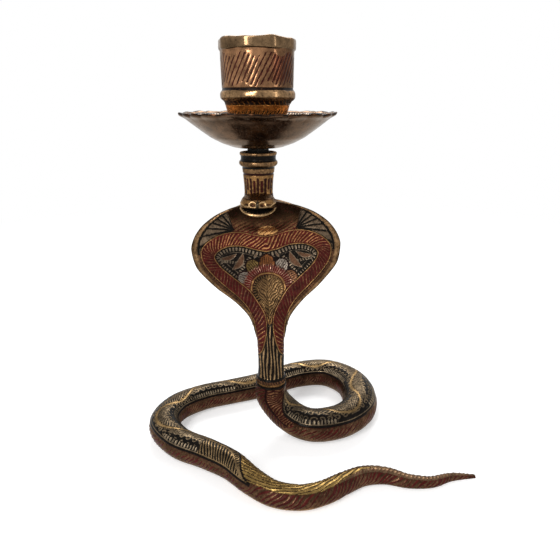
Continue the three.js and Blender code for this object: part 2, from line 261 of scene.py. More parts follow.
def cast(name, rings, finish, material, depth=0.16, capped=True):
    """A closed skin over rings of points in millimetres from the stem's axis. The lac lies in
    hollows of that depth."""
    steps, sides = rings.shape[:2]
    points = rings.reshape(-1, 3)
    flat = {key: value.reshape((-1,) + value.shape[2:]) for key, value in finish.items()}
    at = np.arange(steps * sides).reshape(steps, sides)
    near, far = at[:-1], at[1:]
    faces = np.stack([near, np.roll(near, -1, 1), np.roll(far, -1, 1), far], -1).reshape(-1, 4).tolist()
    if capped:
        first_middle, last_middle = steps * sides, steps * sides + 1
        points = np.concatenate([points, [rings[0].mean(0), rings[-1].mean(0)]])
        faces += [(first_middle, q, p) for p, q in zip(at[0].tolist(), np.roll(at[0], -1).tolist())]
        faces += [(last_middle, p, q) for p, q in zip(at[-1].tolist(), np.roll(at[-1], -1).tolist())]
        flat = {key: np.concatenate([value, value[:1], value[-1:]]) for key, value in flat.items()}
    origin = np.array(stem_axis)
    mesh = bpy.data.meshes.new(name)
    mesh.from_pydata((points * MM + origin).tolist(), [], faces)
    mesh.update()
    normals = np.zeros(points.size)
    mesh.vertex_normals.foreach_get("vector", normals)
    normals = normals.reshape(-1, 3)
    strokes = stroke_wave(flat["stroke"]) - 1 + flat["share"]
    metal = np.maximum(smooth(flat["line"], -0.2, 0.2), smooth(strokes, -0.2, 0.2))
    raised = (flat["lift"] - depth * (1 - metal))[:, None] * normals
    mesh.vertices.foreach_set("co", ((points + raised) * MM + origin).ravel())
    for key in (*DRAWING, "grime"):
        mesh.attributes.new(key, "FLOAT", "POINT").data.foreach_set("value", flat[key])
    # Upward-facing sides are painted brighter and downward-facing ones darker: painted light and shade.
    painted_light_from_above = 0.5 + 0.5 * smooth(normals[:, 2:], -0.75, 0.45)
    tint = np.concatenate([flat["tint"] * painted_light_from_above, np.ones((len(points), 1))], 1)
    mesh.attributes.new("tint", "FLOAT_COLOR", "POINT").data.foreach_set("color", tint.ravel())
    mesh.shade_smooth()
    mesh.update()
    mesh.materials.append(material)
    return placed(name, mesh)


NUMBER, COLOUR = "NodeSocketFloat", "NodeSocketColor"
SURFACE = {"Color": COLOUR, "Roughness": NUMBER, "Height": NUMBER}


def group(name, inputs, outputs):
    """A node group with sockets of those names and kinds, and what it is given."""
    made = bpy.data.node_groups.new(name, "ShaderNodeTree")
    for way, sockets in (("INPUT", inputs), ("OUTPUT", outputs)):
        for socket, kind in sockets.items():
            made.interface.new_socket(socket, in_out=way, socket_type=kind)
    return made, add(made, "NodeGroupInput").outputs


def speckle(tree, per_mm, detail=3.0, stretch=(1, 1, 1)):
    place = add(tree, "ShaderNodeTexCoord").outputs["Object"]
    scaled = add(tree, "ShaderNodeMapping", {"Vector": place, "Scale": stretch}).outputs[0]
    settings = {"Vector": scaled, "Scale": per_mm / MM, "Detail": detail, "Roughness": 0.6}
    return add(tree, "ShaderNodeTexNoise", settings).outputs["Fac"]


def blend(tree, share, first, second, kind="MIX"):
    """Two colours mixed. The colours of that node are its inputs 6 and 7, and its output 2."""
    mixed = {0: share, 6: first, 7: second}
    return add(tree, "ShaderNodeMix", mixed, data_type="RGBA", blend_type=kind).outputs[2]


def shaded(tree, colour, lightness):
    grey = add(tree, "ShaderNodeCombineColor", dict.fromkeys(range(3), lightness)).outputs[0]
    return blend(tree, 1.0, colour, grey, "MULTIPLY")


# Aged brass: its colour varies in clouds, darkens where grime stays, and is finely scratched.
aged_brass, given = group("aged_brass", {"Tint": COLOUR, "Grime": NUMBER, "Polish": NUMBER}, SURFACE)
tree = aged_brass
spots = speckle(tree, 1.3, 5.0)
scratches = speckle(tree, 1.1, 4.0, (1, 1, 0.08))
tinted = shaded(tree, given["Tint"], ramp(tree, speckle(tree, 0.22), 0.3, 0.7, 0.55, 1.3))
stain = maths(tree, "MULTIPLY", ramp(tree, spots, 0.42, 0.72), given["Grime"])
dulled = maths(tree, "MULTIPLY_ADD", stain, 0.35, given["Polish"])
worn = ramp(tree, scratches, 0.35, 0.75, -0.04, 0.12)
look = {
    "Color": blend(tree, stain, tinted, STAIN),
    "Roughness": maths(tree, "ADD", dulled, worn),
    "Height": maths(tree, "MULTIPLY_ADD", scratches, 0.4, spots),
}
add(tree, "NodeGroupOutput", look)

# Lac inlay: where a line or a stroke is bare metal, and where lac fills the hollow between them.
# The edges wander a little, as hand work does, and the lac has rubbed off in places.
LAC_ROUGHNESS = 0.3
LAC_SHINE = 0.06
lac_inlay, given = group(
    "lac_inlay",
    {
        "Line": NUMBER, "Stroke": NUMBER, "Share": NUMBER, "Lac": NUMBER, "Rubbed": NUMBER,
        "Brass": COLOUR, "Brass Roughness": NUMBER,
    },
    {**SURFACE, "Metal": NUMBER},
)
tree = lac_inlay
wander = maths(tree, "SUBTRACT", speckle(tree, 0.9, 4.0), 0.5)
saw = maths(tree, "MULTIPLY_ADD", maths(tree, "FRACT", given["Stroke"]), 2.0, -1.0)
wave = maths(tree, "SUBTRACT", 1.0, maths(tree, "ABSOLUTE", saw))
cut = maths(tree, "SUBTRACT", maths(tree, "ADD", wave, given["Share"]), 1.0)
strokes = ramp(tree, maths(tree, "MULTIPLY_ADD", wander, 0.9, cut), -0.13, 0.13)
lines = ramp(tree, maths(tree, "MULTIPLY_ADD", wander, 0.35, given["Line"]), -0.08, 0.08)
left_on = maths(tree, "MULTIPLY", ramp(tree, speckle(tree, 0.8, 4.0), 0.54, 0.70), 0.45)
cleaned = maths(tree, "SUBTRACT", maths(tree, "MAXIMUM", strokes, lines), left_on)
rubbed = maths(tree, "MULTIPLY", ramp(tree, speckle(tree, 1.6, 5.0), 0.55, 0.72), given["Rubbed"])
bare = add(tree, "ShaderNodeClamp", {"Value": maths(tree, "MAXIMUM", cleaned, rubbed)}).outputs[0]
shade = ramp(tree, speckle(tree, 0.5, 3.0), 0.3, 0.7, 0.55, 1.35)
lac_colour = shaded(tree, blend(tree, given["Lac"], BLACK_LAC, RED_LAC), shade)
difference = maths(tree, "SUBTRACT", given["Brass Roughness"], LAC_ROUGHNESS)
look = {
    "Color": blend(tree, bare, lac_colour, given["Brass"]),
    "Metal": maths(tree, "MULTIPLY", bare, 0.95),
    "Roughness": maths(tree, "MULTIPLY_ADD", difference, bare, LAC_ROUGHNESS),
    "Height": bare,
}
add(tree, "NodeGroupOutput", look)


def metal_surface(tree, look, metallic, height, bump, others=()):
    """The shader of a metal whose colour and roughness come from a node group."""
    normal = add(tree, "ShaderNodeBump", {"Height": height, "Distance": bump * MM}).outputs[0]
    surface = {
        "Base Color": look["Color"],
        "Roughness": look["Roughness"],
        "Metallic": metallic,
        "Normal": normal,
    }
    shader = add(tree, "ShaderNodeBsdfPrincipled", {**surface, **dict(others)}).outputs[0]
    add(tree, "ShaderNodeOutputMaterial", {"Surface": shader})


def engraved_finish(name, polish, rubbed, bump=0.05, edge_tint=WHITE):
    """Brass with lac in its engraving, drawn by the numbers that its mesh carries."""
    material = bpy.data.materials.new(name)
    tree = own_nodes(material)
    read = {}
    for key in (*DRAWING, "grime", "tint"):
        read[key] = add(tree, "ShaderNodeAttribute", attribute_name=key).outputs
    brass = {"Tint": read["tint"]["Color"], "Grime": read["grime"]["Fac"], "Polish": polish}
    brass = add(tree, "ShaderNodeGroup", brass, node_tree=aged_brass).outputs
    inlay = {key.capitalize(): read[key]["Fac"] for key in DRAWING}
    inlay |= {"Rubbed": rubbed, "Brass": brass["Color"], "Brass Roughness": brass["Roughness"]}
    inlay = add(tree, "ShaderNodeGroup", inlay, node_tree=lac_inlay).outputs
    height = maths(tree, "MULTIPLY_ADD", brass["Height"], 0.35, inlay["Height"])
    shine = {"Specular IOR Level": LAC_SHINE, "Specular Tint": edge_tint}
    metal_surface(tree, inlay, inlay["Metal"], height, bump, shine)
    return material


red_lac_brass = engraved_finish("red_lac_brass", 0.27, 0.22, edge_tint=(0.75, 0.68, 0.60, 1))

route = [(NECK_X + x, NECK_Y + y, NECK_JOINT + z) for x, y, z in NECK_BEND]
route += [(x, y, BODY_RADIUS * thick - REST_FLAT) for x, y, thick in TAIL_STATIONS]
radii = [(NECK_END_RADIUS + NECK_SWELL * n,) for n in range(len(NECK_BEND))]
radii += [(BODY_RADIUS * thick,) for _, _, thick in TAIL_STATIONS]
# Even steps along the body, so that its strokes are as far apart in every stretch.
probe = np.linspace(0, 1, BODY_PROBES)
run = running_total(np.linalg.norm(np.diff(spline(route, probe)[0], axis=0), axis=1))
body_run = np.linspace(0, run[-1], BODY_STEPS)
steps = np.interp(body_run, run, probe)
station = steps * (len(route) - 1) - len(NECK_BEND)
centres, along = spline(route, steps)
along[0] = (0, 0, -1)
along /= np.linalg.norm(along, axis=1)[:, None]
radius = spline(radii, steps, STATION_TENSION)[0]
flat_side = np.cross(along, (0, 0, 1))
neck_side = np.array([NECK_BEND[-1][1], -NECK_BEND[-1][0], 0.0])
flat_side[np.linalg.norm(flat_side, axis=1) < 0.3] = neck_side
flat_side /= np.linalg.norm(flat_side, axis=1)[:, None]
top = np.cross(flat_side, along)
turn = np.linspace(0, 2 * math.pi, BODY_SIDES, endpoint=False)
ring_out = flat_side[:, None] * np.cos(turn)[None, :, None] + top[:, None] * np.sin(turn)[None, :, None]
body = centres[:, None] + radius[:, None] * ring_out
grounded = (body[..., 2] < 0) | ((station[:, None] > -1) & (body[..., 2] < REST_FLAT / 4))
body[..., 2] = np.where(grounded, 0, body[..., 2])

# Where each point is: how far along, at which station, at what angle from the middle of the back, on
# which side of it, and how far across.
angle = np.abs((turn - math.pi / 2 + math.pi) % (2 * math.pi) - math.pi)
side = np.where(np.cos(turn) > 0, 1.0, -1.0)
run_along, station, angle, side = np.broadcast_arrays(body_run[:, None], station[:, None], angle, side)
across = angle * radius
offset = across * side

BAND_ANGLE = math.radians(60)
HATCH_ANGLE = math.radians(38)
BAND_SWEEP = (13.5, 15.3)
VINE_PERIOD = 37.0
VINE_SWING = 0.55
LEAF_REACH = 0.42
TOOTH_PITCH = 1.3
CURL_PITCH = 3.0
CURL_RADIUS = 0.8
band_half = radius * BAND_ANGLE * smooth(run_along, 4, 16)
# Towards the tail the band's far edge crosses the back, so that it ends in a point on the near side.
far_edge = band_half * (2 * smooth(station, *BAND_SWEEP) - 1)
from_edge = np.minimum(band_half - across, offset - far_edge)
in_band = (from_edge > 0) & (station < BAND_SWEEP[1])

tail_finish, engrave = plain_brass(body.shape[:2])
# The sides: dull brown brass with slanted strokes of red lac, and bare underneath.
under = smooth(angle, math.radians(100), math.radians(128))
margin = smooth(across - band_half, 2.6, 1.2) * smooth(station, 15.6, 14.8)
slant = run_along / 2.0 + side * across * 0.42 + 1.6 * unsteady(run_along, across)
patchy = 0.14 * np.sin(run_along * 0.31) + 0.12 * np.sin(run_along * 0.73 + across)
side_share = 0.56 + patchy + 0.65 * np.maximum(under, margin)
engrave(angle > 0, stroke=slant, share=side_share, lac=0.8, tint=(0.118, 0.062, 0.033), grime=0.85)
engrave((under > 0.5) & (station > 14) & (station < 19), tint=GOLD * 0.7, grime=0.4)
# The tail's end: lengthwise strokes along the back, then a bare ridge, painted lighter along its top as a
# highlight.
back_angle = HATCH_ANGLE + (BAND_ANGLE - HATCH_ANGLE) * smooth(station, 15.9, 14.7)
lengthwise = (station > BAND_SWEEP[0]) & (angle < back_angle * smooth(station, 21, 17.5)) & ~in_band
hatching = offset / 1.15 + run_along * 0.17 + unsteady(run_along, across)
engrave(lengthwise, stroke=hatching, share=0.76, lac=0.12, tint=(0.48, 0.305, 0.10), grime=0.35)
ridge = (station >= 18.5) & (angle < math.radians(34)) & ~lengthwise
ridge_strokes = run_along / 1.5 + across * 0.5
engrave(ridge, stroke=ridge_strokes, share=0.9, lac=0.9, tint=(0.26, 0.16, 0.09), grime=0.2)


def off_centre(run, pitch):
    """How far each place is from the middle of its own repeat."""
    return run % pitch - pitch / 2


# The band: a gold vine that swings from side to side on black. The wide bays beside it hold a
# leaf of fine veins and a row of teeth, and small curls fill what is left.
swing = band_half * VINE_SWING * np.sin(2 * math.pi * run_along / VINE_PERIOD)
bay = np.where(offset > swing, band_half - swing, band_half + swing)
into_bay = np.abs(offset - swing)
wide_bay = smooth(bay / np.maximum(band_half, 0.1), 0.75, 1.0)
vine = 0.5 - into_bay
second_vine = np.where(wide_bay < 0.5, 0.17 - np.abs(into_bay - 1.05), NO_LINE)
leaf_line = np.where(wide_bay > 0.5, 0.26 - np.abs(into_bay - bay * LEAF_REACH), NO_LINE)
in_leaf = (into_bay > 0.8) & (into_bay < bay * LEAF_REACH - 0.3) & (wide_bay > 0.5)
vein = np.abs((run_along / 1.15 + into_bay * 0.8) % 1 - 0.5) * 1.15 - 0.27
vein = np.where(in_leaf, vein, NO_LINE)
tooth = off_centre(run_along + TOOTH_PITCH / 2, TOOTH_PITCH)
tooth_row = np.minimum(0.34 - np.abs(tooth), 0.8 - np.abs(from_edge - 1.55))
tooth_row = np.where(wide_bay > 0.2, tooth_row, NO_LINE)
edge_line = 0.28 - np.abs(from_edge - 0.3)
curl_row = (offset // CURL_PITCH) % 2
curl_run = off_centre(run_along + curl_row * CURL_PITCH / 2, CURL_PITCH)
curl_over = off_centre(offset, CURL_PITCH)
curl = np.hypot(curl_run, curl_over) + 0.25 * np.arctan2(curl_over, curl_run) / math.pi
curl_room = (into_bay > 1.0) & (from_edge > 1.0) & ~(in_leaf | (tooth_row > -0.4))
curl = np.where(curl_room, 0.27 - np.abs(curl - CURL_RADIUS), NO_LINE)
scrolls = np.maximum.reduce([vine, second_vine, leaf_line, vein, tooth_row, edge_line, curl])
engrave(in_band, line=scrolls, share=ALL_LAC, lac=0.0, tint=(0.26, 0.19, 0.115), grime=0.3)
engrave(in_band & (vine > -0.4), tint=(0.45, 0.29, 0.13))
engrave(in_band & (tooth_row > -0.3), tint=(0.36, 0.275, 0.18))
# The last of the band is a feather: a quill line with finer slanted strokes on either side.
feather = in_band & (station > BAND_SWEEP[0] - 0.6)
quill = offset - (0.35 * band_half + 0.65 * far_edge)
feather_line = np.maximum(edge_line, 0.34 - np.abs(quill))
barbs = np.where(quill > 0, run_along / 1.35 - offset * 0.45, run_along / 1.2 + offset * 0.3)
barbs += unsteady(run_along, offset)
barb_share = np.where(quill > 0, 0.44, 0.55)
engrave(feather, line=feather_line, stroke=barbs, share=barb_share, tint=(0.36, 0.24, 0.12))
# The top of the loop is painted brighter and its front darker: painted light and shade.
loop_painted_light = 1 + 0.6 * smooth(station, 1.8, 3.5) * smooth(station, 8, 6) - 0.4 * smooth(station, 1.8, 0.5)
engrave(in_band, tint=tail_finish["tint"] * loop_painted_light[..., None])
engrave((np.abs(from_edge + 0.35) < 0.35) & (band_half > 0.5) & (station < BAND_SWEEP[1]), **BLACK)
# The neck: worn lac, and down its front a ladder of fine rungs beside a dark line.
on_neck = (run_along + 0.5 * offset < 26) & (from_edge < -0.7) & (station < 2)
neck_strokes = run_along / 1.6 - offset * 0.4
engrave(on_neck, stroke=neck_strokes, share=0.56, lac=0.7, tint=BROWN * 0.95, grime=1.0)
from_line = (math.radians(93) - angle) * radius
ladder = on_neck & (side > 0) & (from_line > 0)
rungs = run_along / 1.25 + 0.3 * np.sin(across * 1.1 + run_along * 0.5)
engrave(ladder, stroke=rungs, share=0.44, lac=0.45, tint=(0.18, 0.088, 0.04))
engrave(on_neck & (side > 0) & (np.abs(from_line) < 0.35), share=ALL_LAC, lac=0.1)
engrave(run_along < 0.4, **BLACK)

tail_coil = cast("engraved_tail", body, tail_finish, red_lac_brass)
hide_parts("tail_coil")
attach(tail_coil, "tail")


# Neck stud. A length of threaded steel rod screwed into the neck, dull and oily. Its thread is cut
# into the rod, and both ends are chamfered.
def bare_metal(name, node_group, bump, inputs):
    """A metal with no engraving, which gets all its looks from one node group."""
    material = bpy.data.materials.new(name)
    tree = own_nodes(material)
    look = add(tree, "ShaderNodeGroup", inputs, node_tree=node_group).outputs
    metal_surface(tree, look, 1.0, look["Height"], bump)
    return material


# Worn steel: its colour is cloudy, and brighter where edges have rubbed.
worn_steel, given = group("dark_steel", {"Colour": COLOUR, "Edge Colour": COLOUR}, SURFACE)
tree = worn_steel
rounded = add(tree, "ShaderNodeBevel", {"Radius": 0.35 * MM}, samples=4).outputs[0]
straight = add(tree, "ShaderNodeNewGeometry").outputs["Normal"]
ways = {0: rounded, 1: straight}
alike = add(tree, "ShaderNodeVectorMath", ways, operation="DOT_PRODUCT").outputs["Value"]
rust = speckle(tree, 0.9, 5.0)
rubbed_edge = maths(tree, "MULTIPLY", ramp(tree, alike, 0.995, 0.93), ramp(tree, rust, 0.3, 0.6))
cloudy = shaded(tree, given["Colour"], ramp(tree, rust, 0.3, 0.75, 0.6, 1.3))
look = {
    "Color": blend(tree, rubbed_edge, cloudy, given["Edge Colour"]),
    "Roughness": ramp(tree, rust, 0.3, 0.7, 0.42, 0.62),
    "Height": rust,
}
add(tree, "NodeGroupOutput", look)
STEEL_BUMP = 0.03
steel_colours = {"Colour": (0.07, 0.06, 0.052, 1), "Edge Colour": (0.34, 0.31, 0.27, 1)}
dark_steel = bare_metal("dark_steel", worn_steel, STEEL_BUMP, steel_colours)


def ringed(radius, level, turn, centre=(0, 0)):
    """Points on rings round an upright axis."""
    x, y = centre[0] + radius * np.cos(turn), centre[1] + radius * np.sin(turn)
    return np.stack(np.broadcast_arrays(x, y, level), -1)


ROD_SIDES = 48
STEPS_IN_THREAD = 8
THREAD_DEPTH = 0.6
ROD_CHAMFER = 0.8


def threaded_rod(name, node, pitch):
    """A rod the size of that CAD node, with a thread of that pitch. The thread's depth and the
    chamfer are shares of the pitch."""
    low, high = (np.array(corner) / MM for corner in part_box(node))
    centre = (low + high) / 2 - np.array(stem_axis) / MM
    outer = (high[0] - low[0]) / 2
    root = outer - THREAD_DEPTH * pitch
    heights = np.arange(low[2], high[2] + 1e-6, pitch / STEPS_IN_THREAD)[:, None]
    heights[-1] = high[2]
    around = np.linspace(0, 2 * math.pi, ROD_SIDES, endpoint=False)
    wave = stroke_wave(heights / pitch - around[None] / (2 * math.pi))
    from_end = np.minimum(heights - low[2], high[2] - heights)
    chamfered = outer - np.maximum(ROD_CHAMFER * pitch - from_end, 0)
    radii = np.minimum(root + (outer - root) * smooth(wave, 0.1, 0.8), chamfered)
    rod = cast(name, ringed(radii, heights, around, centre), plain_brass(radii.shape)[0], dark_steel)
    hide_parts(node)
    return rod


neck_stud = threaded_rod("neck_stud_thread", "neck_stud", 1.0)
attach(neck_stud, "neck_lift")


# Hood casting. The spread hood is a thin curved plate with a rolled rim, cast in one with its throat,
# the head and the stem. Its face is engraved: fans at the shoulders, a heart-shaped red band round a
# black field of leaves, a palmette over a pointed medallion, and flutes down the throat.
HOOD_HALF_WIDTH = 30.3
HOOD_HEIGHT = 78.0
HOOD_TILT = 0.045
SPINE_RELIEF = 2.6
SPINE_HALF_WIDTH = 5.0
GAP = 0.3
HOOD_TOP_X = 2.2
RIM_WIDTH = 2.9
# Each station is its height, its half width as a share of the hood's, half its thickness, how far
# back its middle and how far forward its rims are, and how blunt its rims are.
HOOD_STATIONS = [
    (0.0, 0.197, 5.9, 0.0, 0.0, 1.0), (1.2, 0.21, 6.25, 0.0, 0.0, 1.0), (2.6, 0.205, 6.1, 0.0, 0.0, 1.0),
    (3.6, 0.182, 5.45, 0.1, 0.0, 1.0), (9.0, 0.18, 5.4, 0.5, 0.0, 1.0), (16.0, 0.181, 5.3, 1.3, 0.0, 1.0),
    (22.0, 0.207, 5.0, 2.4, 0.3, 0.95), (29.0, 0.3, 4.2, 4.0, 1.0, 0.85), (35.7, 0.485, 3.4, 5.4, 2.0, 0.7),
    (42.4, 0.725, 2.8, 6.8, 3.4, 0.6), (51.0, 0.95, 2.5, 8.2, 5.0, 0.55), (59.4, 1.0, 2.3, 8.6, 6.0, 0.55),
    (65.0, 0.935, 2.2, 8.0, 6.0, 0.55), (69.4, 0.82, 2.1, 7.0, 5.4, 0.55), (73.4, 0.64, 2.1, 5.4, 4.2, 0.6),
    (76.0, 0.45, 2.2, 4.2, 2.6, 0.7), (77.3, 0.3, 2.4, 3.6, 1.2, 0.8), (78.0, 0.16, 2.0, 3.4, 0.4, 1.0),
]
HOOD_PROBES = 3000
HOOD_STEPS = 300
FACE_SIDES = 220
BACK_SIDES = 100


def crest(distance, width):
    """A soft ridge: one at its middle, and fading over that width."""
    return np.exp(-((distance / width) ** 2))


# Even steps up the hood, read from the stations by the same curve that the casting has.
probe = np.linspace(0, 1, HOOD_PROBES)
columns = spline(HOOD_STATIONS, probe, STATION_TENSION)[0]
widening = np.diff(columns[:, 1] * HOOD_HALF_WIDTH)
run = running_total(np.hypot(np.diff(columns[:, 0]), 0.4 * widening))
steps = np.interp(np.linspace(0, run[-1], HOOD_STEPS), run, probe)
height, width, thick, middle, forward, blunt = spline(HOOD_STATIONS, steps, STATION_TENSION)[0].T[:, :, None]
# The points go round by the face and then the back, where they are fewer. They are closer at the rims.
face_sides = np.linspace(1, -1, FACE_SIDES, endpoint=False)
back_sides = np.linspace(-1, 1, BACK_SIDES, endpoint=False)
way_round = np.concatenate([face_sides, back_sides])[None]
is_face = (np.arange(FACE_SIDES + BACK_SIDES) < FACE_SIDES)[None]
crowded = (1 - np.abs(1 - np.abs(way_round)) ** 1.6) * np.sign(way_round)
share_across = 0.55 * np.sin(way_round * math.pi / 2) + 0.45 * crowded
from_middle = width * HOOD_HALF_WIDTH * share_across
fullness = np.sqrt(np.clip(1 - share_across**2, 0, 1)) ** blunt
depth = np.where(is_face, -1, 1) * fullness
opened = smooth(height, 18, 45)
spine = np.where(is_face, 0, opened * depth * SPINE_RELIEF * crest(from_middle, SPINE_HALF_WIDTH))
lean = smooth(height, 8, HOOD_HEIGHT)
hood_x = NECK_X + (HOOD_TOP_X - NECK_X) * lean + from_middle
hood_y = NECK_Y + middle - forward * share_across**2 + thick * depth + spine
hood_z = NECK_JOINT + GAP + height - height / HOOD_HEIGHT * GAP + HOOD_TILT * opened * from_middle
hood_rings = np.stack(np.broadcast_arrays(hood_x, hood_y, hood_z), -1)

# Where each point is: how far up, how far right of the middle, how far out on either side of it, and
# how far in from the rim.
shape = hood_rings.shape[:2]
up, right, is_face = (np.broadcast_to(value, shape) for value in (height, from_middle, is_face))
out = np.abs(right)
from_rim = np.interp(up, columns[:, 0], columns[:, 1]) * HOOD_HALF_WIDTH - out


def outline(points, fine=7):
    """A smooth line through the points of one half, from the middle out, and its mirror image."""
    half = spline(points, np.linspace(0, 1, fine * (len(points) - 1) + 1), tension=0.5)[0]
    return np.concatenate([half[:0:-1] * (-1, 1), half])


def near_line(line, x, z):
    """The distance to a line, and how far from the line's middle its nearest place is."""
    best, where, run = np.full(x.shape, 1e9), np.zeros(x.shape), 0.0
    for (x0, z0), (x1, z1) in zip(line[:-1], line[1:]):
        length = math.hypot(x1 - x0, z1 - z0)
        along = np.clip(((x - x0) * (x1 - x0) + (z - z0) * (z1 - z0)) / length**2, 0, 1)
        distance = np.hypot(x - x0 - along * (x1 - x0), z - z0 - along * (z1 - z0))
        closer = distance < best
        best, where = np.where(closer, distance, best), np.where(closer, run + along * length, where)
        run += length
    return best, where - run / 2


def inside(line, x, z):
    """Whether a point lies inside the line, taken as closed."""
    odd = np.zeros(x.shape, bool)
    for (x0, z0), (x1, z1) in zip(line, np.roll(line, -1, 0)):
        crosses = (z0 > z) != (z1 > z)
        odd ^= crosses & (x < (x1 - x0) * (z - z0) / (z1 - z0 + 1e-12) + x0)
    return odd


# Each outline is one half's points, as how far out and how far up.
BAND_OUTER = [
    (0, 62.5), (5, 63.6), (10, 65.0), (15, 65.2), (20, 63.9), (24.4, 60.9), (26.0, 57.5), (25.0, 52.6),
    (21.6, 47.7), (16.9, 42.7), (12.2, 38.2), (8.6, 33.6), (6.8, 28.8), (5.9, 23.4), (5.7, 17.8), (6.6, 11.6),
]
BAND_INNER = [
    (0, 56.3), (4.5, 57.4), (9.5, 59.1), (14.5, 59.5), (18.3, 58.5), (20.7, 56.4), (20.6, 54.1), (18.1, 50.3),
    (13.0, 45.5), (7.9, 40.8), (4.8, 36.2), (2.2, 31.6), (1.4, 27.9), (1.5, 23.9), (2.5, 19.1), (3.9, 15.2),
    (6.6, 11.6),
]
MEDALLION = [(0, 47.4), (3, 46.9), (5.7, 45.0), (6.9, 41.7), (6.2, 38.2), (3.5, 33.9), (1.3, 29.9), (0, 26.5)]
outer_line, inner_line, medallion_line = outline(BAND_OUTER), outline(BAND_INNER), outline(MEDALLION)
to_outer, run_outer = near_line(outer_line, right, up)
to_inner, run_inner = near_line(inner_line, right, up)
to_medallion, run_medallion = near_line(medallion_line, right, up)
in_outer, in_inner = inside(outer_line, right, up), inside(inner_line, right, up)

GREY_BRASS = np.array((0.18, 0.125, 0.08))
COPPER = np.array((0.23, 0.085, 0.03))
OLIVE = np.array((0.14, 0.09, 0.03))
SILVER = np.array((0.25, 0.205, 0.165))
# The rolled rim, bare and brown, stands a little proud of the face.
on_rim = smooth(from_rim, RIM_WIDTH + 0.5, RIM_WIDTH - 0.7) * smooth(up, 20, 34)
hood_finish, engrave = plain_brass(shape, tint=BROWN * 1.5, grime=0.75, lift=0.6 * on_rim)
# Painted shade darkens the rim towards its outer edge, and a painted highlight runs along its inner edge,
# over mottled brass.
rim_painted_shade_and_highlight = 0.2 + 0.85 * smooth(from_rim, 0.2, 2.0) + 0.35 * crest(from_rim - 2.2, 0.35)
mottled = 1 + 0.35 * np.sin(up * 0.9 + right * 0.35) * np.sin(up * 0.41 - right * 0.8)
rim_tint = np.array((0.20, 0.116, 0.055)) * (rim_painted_shade_and_highlight * mottled)[..., None]
engrave((on_rim > 0.2) & is_face, tint=rim_tint)
# Between the rim and the red band the metal is brown and nearly bare.
margin = is_face & (from_rim > RIM_WIDTH) & (up > 26) & ~in_outer
engrave(margin, stroke=up / 1.6 + out * 0.4, share=0.9, lac=0.1, tint=BROWN, grime=0.7)
# Fans at the shoulders, with rays parted by black lines, and a dark line along the rim.
FAN_OUT, FAN_UP = 12.4, 66.3
RAY_DEGREES = 16.5
RAY_PARTING = 0.75
SHOULDER_FOOT = 57
fan_angle = np.degrees(np.arctan2(up - FAN_UP, out - FAN_OUT))
fan_reach = np.hypot(up - FAN_UP, out - FAN_OUT)
fan = margin & (fan_angle > -34) & (fan_angle < 76) & (out > FAN_OUT) & (up > SHOULDER_FOOT)
parting = RAY_PARTING / np.maximum(fan_reach * math.radians(RAY_DEGREES), 0.5)
ray_share = np.clip(1 - parting, ALL_LAC, 0.78)
rays = fan_angle / RAY_DEGREES + 0.4
engrave(fan, stroke=rays, share=ray_share, lac=0.0, tint=GREY_BRASS * 0.75, grime=0.6)
inner_rim = is_face & (np.abs(from_rim - RIM_WIDTH - 0.35) < 0.4) & (up > SHOULDER_FOOT) & (out > 9)
engrave(inner_rim, **BLACK)
# The dish under the head: painted shade darkens its top, under the head, and a painted highlight lies on its
# lower lip.
dish = margin & (up > 60) & (out < FAN_OUT + 8) & ~fan & ((fan_angle > 70) | (out < FAN_OUT))
# Painted shade: the dish is darker towards its top, under the head.
lit = smooth(up, 73.5, 64.5)
dish_tint = np.array((0.165, 0.08, 0.036)) * (0.05 + 0.95 * lit[..., None])
dish_share = 1.08 - 0.42 * lit
engrave(dish, stroke=up / 1.8 - right * 0.4, share=dish_share, lac=0.8, tint=dish_tint, grime=0.9)
DISH_DEPTH = 2.2
sunk = smooth(np.hypot(right / 12.5, (up - 70.3) / 6.4), 1.0, 0.35)
engrave(is_face, lift=hood_finish["lift"] - DISH_DEPTH * sunk)
# The painted highlight: a bright spot on the dish's lower lip.
dish_highlight = dish & (np.hypot((right - 0.9) / 4.0, (up - 65.0) / 3.2) < 1)
engrave(dish_highlight, stroke=(right - up) / 2.3, share=0.82, lac=0.8, tint=GOLD * 1.8, grime=0.0)
# The red band, with slanted strokes that follow it round. They are brightest over the middle.
band = is_face & in_outer & ~in_inner
bright = np.maximum(smooth(np.abs(run_outer), 34, 16), 0.6 * smooth(up, 32, 22))
slant = np.where((up < 50) & (right < 0), -0.45, 0.5)
band_strokes = run_outer / 1.6 + to_outer * slant + unsteady(run_outer, to_outer)
band_share = 0.2 + 0.14 * bright + 0.09 * np.sin(run_outer * 0.9) * np.sin(run_outer * 0.23 + 1)
band_tint = np.array((0.135, 0.06, 0.03)) + np.array((0.27, 0.13, 0.045)) * bright[..., None]
engrave(band, stroke=band_strokes, share=band_share, lac=0.68 + 0.32 * bright, tint=band_tint)


def sloping(degrees, x, z):
    """How far along, and how far across, a shape that slopes by that angle."""
    c, d = math.cos(math.radians(degrees)), math.sin(math.radians(degrees))
    return x * c + z * d, z * c - x * d


def teeth(run, depth, inner, outer, pitch, share=0.3):
    """A row of short bars across the strip between two depths."""
    bars = share - np.abs(off_centre(run, pitch))
    return np.minimum(bars, (outer - inner) / 2 - np.abs(depth - (inner + outer) / 2))


